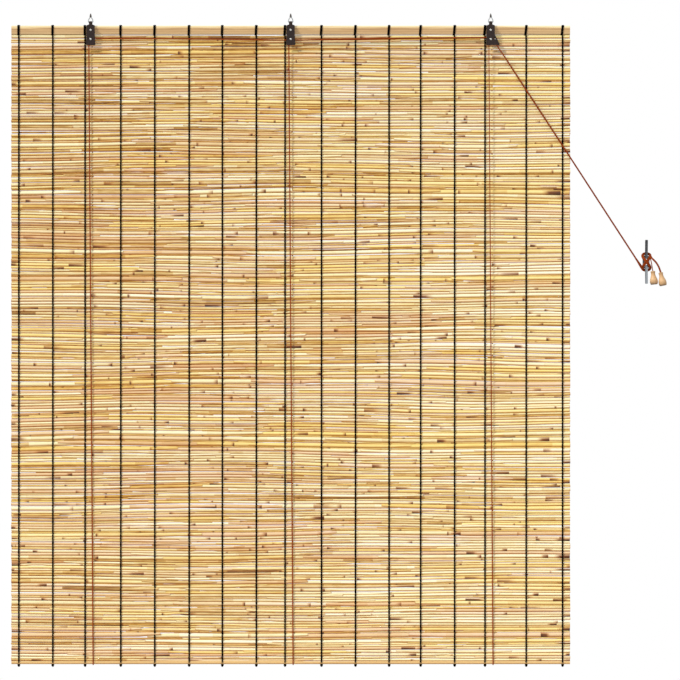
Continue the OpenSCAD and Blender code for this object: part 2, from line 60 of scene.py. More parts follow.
# one node with its settings, its plain values and its links, by socket name or number
def addNode(tree, kind, settings=None, values=None, links=None):
    made = tree.nodes.new(kind)
    for name, value in (settings or {}).items():
        setattr(made, name, value)
    for name, value in (values or {}).items():
        made.inputs[name].default_value = value
    for name, source in (links or {}).items():
        tree.links.new(source, made.inputs[name])
    return made


# sRGB hex to linear, as the shader wants it
def linear(hexColour):
    parts = [int(hexColour[i:i + 2], 16) / 255 for i in (1, 3, 5)]
    return [c / 12.92 if c <= 0.04045 else ((c + 0.055) / 1.055) ** 2.4 for c in parts] + [1.0]


def place(piece):
    scene.collection.objects.link(piece)
    return piece


# heights of a part in mm, from its own box: lowest, middle and highest
def heights(node):
    low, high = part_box(node)
    return low[2] / mm, (low[2] + high[2]) / 2 / mm, high[2] / mm


slatFoot, slatMiddle, slatTop = heights("head_slat")

# camera: the photo is square and straight on, one pixel is 2.5045 mm on the mat
shot = {"pixelMm": 2.5045, "pixels": 680, "slatPixel": (290.7, 25.485), "distance": 14.0, "sensor": 36.0}
shotWidth = shot["pixels"] * shot["pixelMm"] * mm
middlePixel = shot["pixels"] / 2
camera = bpy.data.cameras.new("photoCamera")
camera.sensor_width = shot["sensor"]
camera.lens = shot["sensor"] * shot["distance"] / shotWidth
camera.clip_end = 60
cameraStand = place(bpy.data.objects.new("photoCamera", camera))
cameraStand.location = ((middlePixel - shot["slatPixel"][0]) * shot["pixelMm"] * mm, -shot["distance"],
                        (slatTop - (middlePixel - shot["slatPixel"][1]) * shot["pixelMm"]) * mm)
cameraStand.rotation_euler = (math.radians(90), 0, 0)
scene.camera = cameraStand
print("camera set")


# geometry nodes: lines with a strandRadius become round strands, pressed flat in depth where asked
def makeStrandTree():
    tree = bpy.data.node_groups.new("strandTube", "GeometryNodeTree")
    face = tree.interface
    face.new_socket("Lines", in_out="INPUT", socket_type="NodeSocketGeometry")
    sides = face.new_socket("Sides", in_out="INPUT", socket_type="NodeSocketInt")
    finish = face.new_socket("Finish", in_out="INPUT", socket_type="NodeSocketMaterial")
    face.new_socket("Strands", in_out="OUTPUT", socket_type="NodeSocketGeometry")
    given = addNode(tree, "NodeGroupInput")
    radius, flatness, middle = [
        addNode(tree, "GeometryNodeInputNamedAttribute", {"data_type": "FLOAT"}, {"Name": name})
        for name in ("strandRadius", "flatness", "middleY")]
    lines = addNode(tree, "GeometryNodeMeshToCurve", links={"Mesh": given.outputs["Lines"]})
    measure = addNode(tree, "GeometryNodeSplineParameter")
    along = addNode(tree, "GeometryNodeStoreNamedAttribute", {"data_type": "FLOAT", "domain": "POINT"},
                    {"Name": "along"},
                    {"Geometry": lines.outputs["Curve"], "Value": measure.outputs["Length"]})
    ring = addNode(tree, "GeometryNodeCurvePrimitiveCircle", values={"Radius": 1.0},
                   links={"Resolution": given.outputs["Sides"]})
    spot = addNode(tree, "GeometryNodeInputPosition")
    around = addNode(tree, "GeometryNodeStoreNamedAttribute",
                     {"data_type": "FLOAT_VECTOR", "domain": "POINT"}, {"Name": "around"},
                     {"Geometry": ring.outputs["Curve"], "Value": spot.outputs["Position"]})
    swept = addNode(tree, "GeometryNodeCurveToMesh", values={"Fill Caps": True},
                    links={"Curve": along.outputs["Geometry"], "Profile Curve": around.outputs["Geometry"],
                           "Scale": radius.outputs["Attribute"]})
    split = addNode(tree, "ShaderNodeSeparateXYZ", links={0: spot.outputs["Position"]})
    depth = addNode(tree, "ShaderNodeMath", {"operation": "SUBTRACT"},
                    links={0: middle.outputs["Attribute"], 1: split.outputs["Y"]})
    press = addNode(tree, "ShaderNodeMath", {"operation": "MULTIPLY"},
                    links={0: depth.outputs[0], 1: flatness.outputs["Attribute"]})
    shift = addNode(tree, "ShaderNodeCombineXYZ", links={"Y": press.outputs[0]})
    pressed = addNode(tree, "GeometryNodeSetPosition",
                      links={"Geometry": swept.outputs["Mesh"], "Offset": shift.outputs["Vector"]})
    smooth = addNode(tree, "GeometryNodeSetShadeSmooth", links={"Geometry": pressed.outputs["Geometry"]})
    solid = addNode(tree, "GeometryNodeRealizeInstances", links={"Geometry": smooth.outputs["Geometry"]})
    dressed = addNode(tree, "GeometryNodeSetMaterial",
                      links={"Geometry": solid.outputs["Geometry"], "Material": given.outputs["Finish"]})
    addNode(tree, "NodeGroupOutput", links={"Strands": dressed.outputs["Geometry"]})
    return tree, sides.identifier, finish.identifier


strandTree, sidesInput, finishInput = makeStrandTree()


# strands: dicts with points in mm, radius in mm (one value or one a point) and any further point values
def strandPiece(name, strands, finish, sides=8):
    points, edges, values = [], [], {"strandRadius": []}
    for strand in strands:
        count, first = len(strand["points"]), len(points)
        points += [tuple(c * mm for c in p) for p in strand["points"]]
        edges += [(first + i, first + i + 1) for i in range(count - 1)]
        for key in strand:
            if key != "points":
                given = strand[key] if hasattr(strand[key], "__len__") else [strand[key]] * count
                scale, stored = (mm, "strandRadius") if key == "radius" else (1.0, key)
                values.setdefault(stored, []).extend(v * scale for v in given)
    lines = bpy.data.meshes.new(name + "Lines")
    lines.from_pydata(points, edges, [])
    for key, given in values.items():
        lines.attributes.new(key, "FLOAT", "POINT").data.foreach_set("value", np.array(given, np.float32))
    shape = place(bpy.data.objects.new(name + "Lines", lines))
    modifier = shape.modifiers.new("strandTube", "NODES")
    modifier.node_group = strandTree
    modifier[sidesInput] = sides
    modifier[finishInput] = finish
    bpy.context.view_layer.update()
    mesh = bpy.data.meshes.new_from_object(shape.evaluated_get(bpy.context.evaluated_depsgraph_get()))
    shape.modifiers.remove(modifier)
    bpy.data.objects.remove(shape)
    return place(bpy.data.objects.new(name, mesh))


def dress(piece, body, slot, *replaced):
    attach(piece, body)
    if replaced:
        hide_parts(*replaced)
    return piece


# a smooth line through points, a few mm from step to step
def smoothLine(points, step):
    p = [np.array(q, float) for q in points]
    p = [2 * p[0] - p[1]] + p + [2 * p[-1] - p[-2]]
    line = []
    for a, b, c, d in zip(p, p[1:], p[2:], p[3:]):
        t = np.cumsum([0] + [max(np.linalg.norm(v - u), 1e-6) ** 0.5 for u, v in ((a, b), (b, c), (c, d))])
        count = max(1, round(np.linalg.norm(c - b) / step))
        for s in t[1] + (t[2] - t[1]) * np.arange(count) / count:
            ab = ((t[1] - s) * a + (s - t[0]) * b) / (t[1] - t[0])
            bc = ((t[2] - s) * b + (s - t[1]) * c) / (t[2] - t[1])
            cd = ((t[3] - s) * c + (s - t[2]) * d) / (t[3] - t[2])
            left = ((t[2] - s) * ab + (s - t[0]) * bc) / (t[2] - t[0])
            right = ((t[3] - s) * bc + (s - t[1]) * cd) / (t[3] - t[1])
            line.append(((t[2] - s) * left + (s - t[1]) * right) / (t[2] - t[1]))
    return line + [p[-2]]


def arc(centre, radius, start, end, count):
    turns = [math.radians(start + (end - start) * i / count) for i in range(count + 1)]
    return [(centre[0] + radius * math.cos(t), centre[1] + radius * math.sin(t)) for t in turns]


def cosd(turn):
    return math.cos(math.radians(turn))


def sind(turn):
    return math.sin(math.radians(turn))


# a wave with squarer shoulders: the power is 1 for a plain wave and near 0 for a square one
def squared(wave, power):
    return math.copysign(abs(wave) ** power, wave)


# a material with its shader and output
def newMaterial(name):
    made = bpy.data.materials.new(name)
    made.use_nodes = True
    tree = made.node_tree
    tree.nodes.clear()
    shader = addNode(tree, "ShaderNodeBsdfPrincipled")
    addNode(tree, "ShaderNodeOutputMaterial", links={"Surface": shader.outputs["BSDF"]})
    return made, tree, shader


def setRamp(node, stops):
    ramp = node.color_ramp
    while len(ramp.elements) < len(stops):
        ramp.elements.new(0.5)
    for element, (position, colour) in zip(ramp.elements, stops):
        element.position = position
        element.color = linear(colour)
    return node


# colour and bump to the shader, and its plain numbers; the bump's depth is in mm
def joinShader(tree, shader, colour, height, strength, depth, **numbers):
    bump = addNode(tree, "ShaderNodeBump", values={"Strength": strength, "Distance": depth * mm},
                   links={"Height": height})
    tree.links.new(colour, shader.inputs["Base Color"])
    tree.links.new(bump.outputs["Normal"], shader.inputs["Normal"])
    sockets = {"roughness": "Roughness", "metallic": "Metallic", "specular": "Specular IOR Level"}
    for name, number in numbers.items():
        shader.inputs[sockets[name]].default_value = number


# how far along a strand, as turns of its yarns, and how far round it; the pitch of one full turn is in mm
def strandTwist(tree, yarns, pitch):
    along = addNode(tree, "ShaderNodeAttribute", {"attribute_name": "along"})
    around = addNode(tree, "ShaderNodeAttribute", {"attribute_name": "around"})
    split = addNode(tree, "ShaderNodeSeparateXYZ", links={0: around.outputs["Vector"]})
    turn = addNode(tree, "ShaderNodeMath", {"operation": "ARCTAN2"},
                   links={0: split.outputs["Y"], 1: split.outputs["X"]})
    rise = addNode(tree, "ShaderNodeMath", {"operation": "MULTIPLY"},
                   {1: 2 * math.pi * yarns / (pitch * mm)}, {0: along.outputs["Fac"]})
    spread = addNode(tree, "ShaderNodeMath", {"operation": "MULTIPLY"}, {1: yarns}, {0: turn.outputs[0]})
    return rise.outputs[0], spread.outputs[0]


# braided polyester cord, brown: dull, with crossing yarns a millimetre wide round the core
def makeBrownCord():
    made, tree, shader = newMaterial("braidedPolyesterCord")
    rise, spread = strandTwist(tree, yarns=4, pitch=4.0)
    waves = []
    for operation in ("ADD", "SUBTRACT"):
        lean = addNode(tree, "ShaderNodeMath", {"operation": operation}, links={0: rise, 1: spread})
        waves.append(addNode(tree, "ShaderNodeMath", {"operation": "SINE"}, links={0: lean.outputs[0]}))
    braid = addNode(tree, "ShaderNodeMath", {"operation": "MAXIMUM"},
                    links={0: waves[0].outputs[0], 1: waves[1].outputs[0]})
    level = addNode(tree, "ShaderNodeMapRange", values={"From Min": -0.4, "From Max": 1.0},
                    links={"Value": braid.outputs[0]})
    colour = setRamp(addNode(tree, "ShaderNodeValToRGB", links={"Fac": level.outputs["Result"]}),
                     [(0.0, "#5a1e02"), (0.5, "#802f03"), (1.0, "#9a420a")])
    joinShader(tree, shader, colour.outputs["Color"], level.outputs["Result"], 0.6, 0.15,
               roughness=0.8, specular=0.15)
    return made


brownCord = makeBrownCord()

# cords, on the routes of the part's own cords, in mm and degrees
lay = {"thickness": 2.5, "liftThickness": 2.9, "inLock": 2.0, "lockReach": 14.0, "lane": 2.2, "pitch": 501.0,
       "fixing": slatMiddle, "axle": heights("left_sheave")[1], "caseFoot": heights("left_case")[0],
       "sheaveRadius": 4.7, "sheaveSteps": 14, "leftOff": 78, "middleOn": 122, "middleOff": 58, "rightOn": 91,
       "sag": 1.5, "slatBack": 13.4, "matPlane": 9.4, "loop": 3.15, "loopBehind": 1.15, "turn": 4.4,
       "turnSide": 6.0, "foot": heights("bottom_batten")[0], "footLift": 3.1, "exitBelow": 1.0,
       "matEdge": 703.0, "edgeSteps": 24, "slantSteps": 48, "fanAt": (0.0, 0.3), "fanTo": (0.0, 15.0),
       "turnAt": (0.0, 0.9, 0.94, 0.97, 1.0), "turnTo": (15.0, 18.0, 36.0, 63.0, 90.0)}
# from hanger to hanger: the share of the way and the height over the axle
leftRun = [(0.028, 2), (0.12, 1.7), (0.4, 0.8), (0.76, -0.6), (0.94, -1.8), (0.974, -2)]
middleRun = [(0.026, -2), (0.06, -1.8), (0.28, 0.6), (0.54, 3), (0.8, 4), (0.958, 4.5)]
winding = {"halfWidth": 9.5, "halfHeight": 21.0, "halfDepth": 7.5, "layer": 2.4, "start": -33.0, "end": 585.0,
           "steps": 220, "gap": 3.0, "postFront": 2.4, "cleat": (891.0, heights("cord_cleat")[1])}
tails = {"near": [(9.4, -4.8, 9), (11, -6.2, 3), (13.2, -6.6, -8), (14.8, -6.6, -18)],
         "far": [(13, -4.6, 9.6), (17.6, -6.4, 5), (24, -6.8, -1.8), (30.4, -6.8, -12.6), (33.6, -6.8, -21)],
         "farTurn": 40, "nearTassel": (15.6, -6.6, -23), "farTassel": (35.2, -6.8, -26.4),
         "nearTilt": 6, "farTilt": 11, "nearBore": 1.3, "farBore": 2.4, "neckDepths": (-2, 8), "step": 1.5,
         "tasselHeight": 34.0, "hollow": 9.0, "seat": 0.1, "knot": 6.5, "knotSize": 0.72, "knotCord": 1.0}
cleatAt = np.array([winding["cleat"][0], winding["postFront"], winding["cleat"][1]])
windMiddle = winding["postFront"] - winding["gap"] + winding["halfDepth"] + winding["layer"] / 2


def hangerX(h):
    return (h - 1) * lay["pitch"]


def laneY(h):
    return (1 - h) * lay["lane"]


def eight(turn):
    return np.array([winding["halfWidth"] * sind(2 * turn), -winding["halfHeight"] * cosd(turn)])


def eightHeading(turn):
    v = np.array([2 * winding["halfWidth"] * cosd(2 * turn), winding["halfHeight"] * sind(turn)])
    return v / np.linalg.norm(v)


windFrom = eight(winding["start"])
pullX = winding["cleat"][0] + windFrom[0] - hangerX(2)
pullZ = lay["axle"] - winding["cleat"][1] - windFrom[1]
pullAngle = math.degrees(math.atan2(pullX, pullZ) - math.asin(lay["sheaveRadius"] / math.hypot(pullX, pullZ)))
pullWay = np.array([sind(pullAngle), 0, -cosd(pullAngle)])
pullSide = np.array([cosd(pullAngle), 0, sind(pullAngle)])
pullFrom = np.array([hangerX(2), 0, lay["axle"]]) + lay["sheaveRadius"] * pullSide
pullExit = pullFrom + pullWay * (pullFrom[2] - lay["caseFoot"] + lay["exitBelow"]) / cosd(pullAngle)
pullEdge = pullFrom + pullWay * (lay["matEdge"] - pullFrom[0]) / sind(pullAngle)


def strandOffset(h, turn):
    return laneY(h) * (cosd(turn) * np.array([0, 1, 0]) - sind(turn) * pullSide)


def wind(h, turn):
    heading = eightHeading(turn)
    x, z = eight(turn) - laneY(h) * np.array([-heading[1], heading[0]])
    depth = winding["halfDepth"] * cosd(max(0, 2 * turn)) - winding["layer"] * turn / 180
    return np.array([cleatAt[0] + x, windMiddle + depth, cleatAt[2] + z])


def inTassel(which, side, down):
    tilt = tails[which + "Tilt"]
    return (cleatAt + np.array(tails[which + "Tassel"]) + side * np.array([cosd(tilt), 0, sind(tilt)])
            + down * np.array([sind(tilt), 0, -cosd(tilt)]))


def knotDepth(which):
    knot = tails["knot"] / 2
    drop = math.sqrt(knot ** 2 - tails[which + "Bore"] ** 2)
    return tails["tasselHeight"] - tails["hollow"] + tails["seat"] + drop


def overSheave(h, lane, start, end):
    ring = arc((hangerX(h), lay["axle"]), lay["sheaveRadius"], start, end, lay["sheaveSteps"])
    return [(x, lane, z) for x, z in ring]


def runAlong(h, run, lane, sag=0.0):
    return [(hangerX(h) + share * lay["pitch"], lane, lay["axle"] + rise - sag * sind(180 * share))
            for share, rise in run]


def liftRoute(h):
    x, lane = hangerX(h), laneY(h)
    behind = lay["slatBack"] + lay["loopBehind"]
    loop = [(a, behind, b) for a, b in arc((x, lay["fixing"]), lay["loop"], 270, 0, 24)]
    turn = [(x + lay["turnSide"], a, b)
            for a, b in arc((lay["matPlane"], lay["foot"] + lay["footLift"]), lay["turn"], 0, -180, 18)]
    route = loop + turn
    if h == 0:
        route += overSheave(0, lane, 180, lay["leftOff"]) + runAlong(0, leftRun, lane)
        route += overSheave(1, lane, lay["middleOn"], lay["middleOff"])
        route += runAlong(1, middleRun, lane, lay["sag"])
    elif h == 1:
        route += overSheave(1, lane, 180, lay["middleOff"]) + runAlong(1, middleRun, lane)
    route += overSheave(2, lane, 180 if h == 2 else lay["rightOn"], pullAngle)
    return route + [tuple(pullExit + np.array([0, lane, 0]))]


def pullRoute(h):
    route = []
    for i in range(lay["edgeSteps"] + 1):
        done = i / lay["edgeSteps"]
        fan = strandOffset(h, np.interp(done, lay["fanAt"], lay["fanTo"]))
        route.append(pullExit + (pullEdge - pullExit) * i / lay["edgeSteps"] + fan)
    first = wind(1, winding["start"])
    for i in range(1, lay["slantSteps"]):  # behind one another, then side by side at the cleat
        turn = np.interp(i / lay["slantSteps"], lay["turnAt"], lay["turnTo"])
        route.append(pullEdge + (first - pullEdge) * i / lay["slantSteps"] + strandOffset(h, turn))
    span = winding["end"] - winding["start"]
    turns = [wind(h, winding["start"] + span * i / winding["steps"]) for i in range(winding["steps"] + 1)]
    which, side = ("near", 0.0) if h == 0 else ("far", (h - 1.5) * lay["lane"])
    shift = side * np.array([cosd(tails["farTurn"]), 0, sind(tails["farTurn"])])
    down = knotDepth(which) - (tails["knot"] / 2 + tails["seat"] if h == 2 else 0)
    tail = [cleatAt + np.array(p) + shift for p in tails[which]]
    tail += [inTassel(which, side, d) for d in tails["neckDepths"] + (down,)]
    return route + turns[:-1] + smoothLine([turns[-4]] + [turns[-1]] + tail, tails["step"])[1:]


def trefoil(centre, size, count=36):
    turns = [2 * math.pi * i / count for i in range(count + 1)]
    return [(centre[0] + size * (math.sin(t) + 2 * math.sin(2 * t)), centre[1] - size * math.sin(3 * t),
             centre[2] + size * (math.cos(t) - 2 * math.cos(2 * t))) for t in turns]


cordRadius, liftRadius, lockRadius = lay["thickness"] / 2, lay["liftThickness"] / 2, lay["inLock"] / 2
tailKnots, pullCords = {}, []
for which in ("near", "far"):
    knot = trefoil(inTassel(which, 0, knotDepth(which)), tails["knotSize"])
    strands = [{"points": knot, "radius": tails["knotCord"]}]
    tailKnots[which] = dress(strandPiece(which + "TailKnot", strands, brownCord), "fixings", "brown_cord")
for h, side in enumerate(hangers):
    route = liftRoute(h)
    apart = [math.hypot(p[0] - hangerX(2), p[2] - lay["axle"]) for p in route[:-1]]
    # squeezed where the roller can pinch it, and as thick as the pull cord where that one takes over
    girths = [lockRadius if d < lay["lockReach"] else liftRadius for d in apart] + [cordRadius]
    lift = strandPiece(side + "LiftCord", [{"points": route, "radius": girths}], brownCord)
    dress(lift, "blind", "brown_cord", side + "_lift_cord")
    route = pullRoute(h)
    pull = strandPiece(side + "PullCord", [{"points": route, "radius": cordRadius}], brownCord)
    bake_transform(pull)
    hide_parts(side + "_pull_cord_upper", side + "_pull_cord_lower")
    pullCords.append((pull, route))
print("cords laid:", len(hangers))


# split reed stems, dried and unpeeled: straw yellow to honey skins, dark smudges where leaves grew
def makeReed():
    made, tree, shader = newMaterial("naturalReed")
    tone, blush, gold, mark = [addNode(tree, "ShaderNodeAttribute", {"attribute_name": name})
                               for name in ("reedTone", "reedBlush", "reedGold", "reedMark")]
    spot = addNode(tree, "ShaderNodeTexCoord")
    patchScale = addNode(tree, "ShaderNodeMapping", values={"Scale": (1 / 0.036, 1 / 0.0068, 1 / 0.0068)},
                         links={"Vector": spot.outputs["Object"]})  # patches 36 mm long, one row high
    patch = addNode(tree, "ShaderNodeTexNoise", values={"Scale": 1.0, "Detail": 3.0, "Roughness": 0.6},
                    links={"Vector": patchScale.outputs["Vector"]})
    fibreScale = addNode(tree, "ShaderNodeMapping", values={"Scale": (1 / 0.04, 1 / 0.0011, 1 / 0.0011)},
                         links={"Vector": spot.outputs["Object"]})  # fibres 1.1 mm wide, so that they show
    fibre = addNode(tree, "ShaderNodeTexNoise", values={"Scale": 1.0, "Detail": 2.0},
                    links={"Vector": fibreScale.outputs["Vector"]})
    drift = addNode(tree, "ShaderNodeMath", {"operation": "MULTIPLY_ADD"}, {1: 0.5, 2: -0.25},
                    {0: patch.outputs["Fac"]})
    streak = addNode(tree, "ShaderNodeMath", {"operation": "MULTIPLY_ADD"}, {1: 0.34, 2: -0.17},
                     {0: fibre.outputs["Fac"]})
    both = addNode(tree, "ShaderNodeMath", {"operation": "ADD"},
                   links={0: drift.outputs[0], 1: streak.outputs[0]})
    level = addNode(tree, "ShaderNodeMath", {"operation": "ADD", "use_clamp": True},
                    links={0: both.outputs[0], 1: tone.outputs["Fac"]})
    skin = setRamp(addNode(tree, "ShaderNodeValToRGB", links={"Fac": level.outputs[0]}),
                   [(0.0, "#845c2e"), (0.15, "#b08d4d"), (0.32, "#ccb076"), (0.5, "#dccea0"),
                    (0.72, "#e4deb4"), (1.0, "#edead0")])
    warm = addNode(tree, "ShaderNodeMix", {"data_type": "RGBA"}, {"B": linear("#d3a676")},
                   {"Factor": blush.outputs["Fac"], "A": skin.outputs["Color"]})
    golden = addNode(tree, "ShaderNodeMix", {"data_type": "RGBA", "blend_type": "MULTIPLY"},
                     {"B": linear("#ffecae")}, {"Factor": gold.outputs["Fac"], "A": warm.outputs["Result"]})
    # painted shade: each reed is multiplied towards honey orange on its downward faces
    facing = addNode(tree, "ShaderNodeSeparateXYZ", links={0: spot.outputs["Normal"]})
    underShadeMask = addNode(tree, "ShaderNodeMapRange", {"interpolation_type": "SMOOTHSTEP"},
                    {"From Min": 0.1, "From Max": -0.75, "To Max": 0.86}, {"Value": facing.outputs["Z"]})
    underShaded = addNode(tree, "ShaderNodeMix", {"data_type": "RGBA", "blend_type": "MULTIPLY"},
                    {"B": linear("#da9228")},
                    {"Factor": underShadeMask.outputs["Result"], "A": golden.outputs["Result"]})  # painted shade: honey orange where the reed faces down
    # leaf marks, faded on upward faces so that they show darkest on the underside as painted shade
    below = addNode(tree, "ShaderNodeMapRange", {"interpolation_type": "SMOOTHSTEP"},
                    {"From Min": 0.75, "From Max": 0.1, "To Min": 0.35}, {"Value": facing.outputs["Z"]})
    markAndShade = addNode(tree, "ShaderNodeMath", {"operation": "MULTIPLY"},
                    links={0: mark.outputs["Fac"], 1: below.outputs["Result"]})
    rust = setRamp(addNode(tree, "ShaderNodeValToRGB", links={"Fac": markAndShade.outputs[0]}),
                   [(0.0, "#c57a20"), (0.45, "#8f4d12"), (1.0, "#351a08")])  # rusty rims, dark middles
    cover = addNode(tree, "ShaderNodeMath", {"operation": "MULTIPLY", "use_clamp": True}, {1: 1.4},
                    {0: markAndShade.outputs[0]})
    marked = addNode(tree, "ShaderNodeMix", {"data_type": "RGBA"},
                     links={"Factor": cover.outputs[0], "A": underShaded.outputs["Result"],
                            "B": rust.outputs["Color"]})
    joinShader(tree, shader, marked.outputs["Result"], fibre.outputs["Fac"], 0.35, 0.12,
               roughness=0.4, specular=0.35)
    return made


naturalReed = makeReed()
# the mat's rows and reeds, in mm, with their chances and shares
mat = {"plane": lay["matPlane"], "top": heights("reed_mat")[2], "foot": heights("reed_mat")[0], "rows": 230,
       "edge": 700.0, "edgeClear": 1.0, "ragged": 0.8, "uneven": 1.75, "thinnest": 1.9, "thickest": 5.6,
       "deepest": 3.4, "close": 0.04, "stagger": 0.3, "topRise": 1.5, "jitter": 0.4, "jitterMost": 1.2,
       "tilt": 0.6, "girth": 0.06, "girthLeast": 0.84, "girthMost": 1.12, "ringSwell": 1.05,
       "firstLeast": 150.0, "shortest": 170.0, "longest": 480.0, "leastEnd": 130.0, "lap": (30.0, 110.0),
       "lapRise": 1.35, "lapDepth": 1.5, "lapThin": 0.4, "slitRise": 0.2, "slitThin": 0.3, "slitEnd": 8.0,
       "sameCorner": 0.5, "step": 50.0, "tipClear": 4.0, "markClear": 3.0, "pieces": 3,
       "sides": 8, "seed": 41}
# shades: bleached, straw, honey and brown stems with their spread and share
hues = {"stems": [(0.7, 0.09, 42), (0.55, 0.08, 33), (0.41, 0.07, 23), (0.2, 0.06, 2)],
        "base": 0.03, "across": 0.07, "right": 0.16, "down": 0.07, "thin": 0.35, "skin": 0.1,
        "plainGold": 0.15, "blush": (0.2, 0.75), "gold": (0.5, 1.0), "tintShares": (46, 27, 27),
        "tintAcross": (10, -16, 6)}
# dark places: leaf sheaths, smudges and plain rings, how far each one trails and how dark it is
leaves = {"first": 20.0, "every": (50.0, 180.0), "endClear": 16.0, "sheathRim": 1.5, "rim": 1.2,
          "sheath": 0.035, "sheathAtEdge": 0.2, "sheathReach": (12, 60), "sheathShade": (0.5, 0.95),
          "smudge": 0.36, "smudgeReach": (5, 16), "smudgeShade": (0.5, 1.0), "ringShade": (0.04, 0.2),
          "darkTips": 0.12, "tipReach": (10, 45), "tipShade": (0.55, 1.0), "cutShade": (0.0, 0.6),
          "cutReach": 2.5}
# slow and quick waves of the rows: height, length in mm, and how they change from row to row
waver = {"slow": 3.4, "slowLength": 230, "slowSwing": 2.4, "slowRows": 19.0, "slowFrom": 0.8,
         "quick": 1.2, "quickLength": 88, "quickRows": 7.3, "hold": 0.4}
rowHeight = (mat["top"] - mat["foot"]) / mat["rows"]


def clamp(value, least, most):
    return min(most, max(least, value))


def ease(share):
    share = clamp(share, 0.0, 1.0)
    return share * share * (3 - 2 * share)


# the part's own slits: under each row, the ends of its slits in mm
def findSlits():
    ends = {}
    for corner in nodes["reed_mat"].data.vertices:
        if abs(corner.co.x) < (mat["edge"] - mat["edgeClear"]) * mm:
            row = round((mat["top"] - corner.co.z / mm) / rowHeight) - 1
            ends.setdefault(row, []).append(corner.co.x / mm)
    slits = {}
    for row, found in ends.items():
        found.sort()
        clear = [x for i, x in enumerate(found) if i == 0 or x - found[i - 1] > mat["sameCorner"]]
        slits[row] = list(zip(clear[::2], clear[1::2]))
    return slits


slits = findSlits()


# how far a slit under a row stands open at x, from 0 to 1
def opening(row, x):
    end = mat["slitEnd"]
    shares = [ease((x - a + end) / (2 * end)) * ease((b + end - x) / (2 * end))
              for a, b in slits.get(row, [])]
    return max(shares or [0.0])


def rowZ(row):
    return mat["top"] - (row + 0.5) * rowHeight


# how far a row strays from level: slow waves that neighbouring rows share, none at the head and the foot
def stray(x, row):
    hold = math.sin(math.pi * clamp(row / mat["rows"], 0.0, 1.0)) ** waver["hold"]
    turn = waver["slowSwing"] * math.sin(row / waver["slowRows"])
    slow = waver["slow"] * math.sin(x / waver["slowLength"] + turn + waver["slowFrom"])
    return hold * (slow + waver["quick"] * math.sin(x / waver["quickLength"] + row / waver["quickRows"]))


# the dark places of one reed, as marks from 0 to 1 at points along it, and where its rings are
def drawMarks(draw, start, end):
    marks, rings = {}, []
    x = start + draw.uniform(leaves["first"], leaves["every"][1])
    while x < end - leaves["endClear"]:
        rings.append(x)
        way, kind = draw.choice([-1, 1]), draw.random()
        nearEdge = (abs(x) / mat["edge"]) ** 4
        if kind < leaves["sheath"] + leaves["sheathAtEdge"] * nearEdge:  # left on one side of the ring
            reach, shade = draw.uniform(*leaves["sheathReach"]), draw.uniform(*leaves["sheathShade"])
            trail = [(-leaves["sheathRim"], 0.0), (0.0, shade), (reach * 0.6, shade * 0.75), (reach, 0.0)]
        elif kind < leaves["smudge"]:
            reach, shade = draw.uniform(*leaves["smudgeReach"]), draw.uniform(*leaves["smudgeShade"])
            trail = [(-leaves["rim"], 0.0), (0.0, shade), (reach * 0.4, shade * 0.6), (reach, 0.0)]
        else:
            trail = [(-leaves["rim"], 0.0), (0.0, draw.uniform(*leaves["ringShade"])), (leaves["rim"], 0.0)]
        for far, shade in trail:
            if start + mat["tipClear"] < x + way * far < end - mat["tipClear"]:
                marks[x + way * far] = shade
        x += draw.uniform(*leaves["every"])
    for tip, way in ((start, 1), (end, -1)):
        if abs(tip) > mat["edge"] - mat["edgeClear"] and draw.random() < leaves["darkTips"]:
            reach, shade = draw.uniform(*leaves["tipReach"]), draw.uniform(*leaves["tipShade"])
            marks.update({tip: shade, tip + way * reach * 0.6: shade * 0.8, tip + way * reach: 0.0})
        else:
            marks.update({tip: draw.uniform(*leaves["cutShade"]), tip + way * leaves["cutReach"]: 0.0})
    return marks, rings


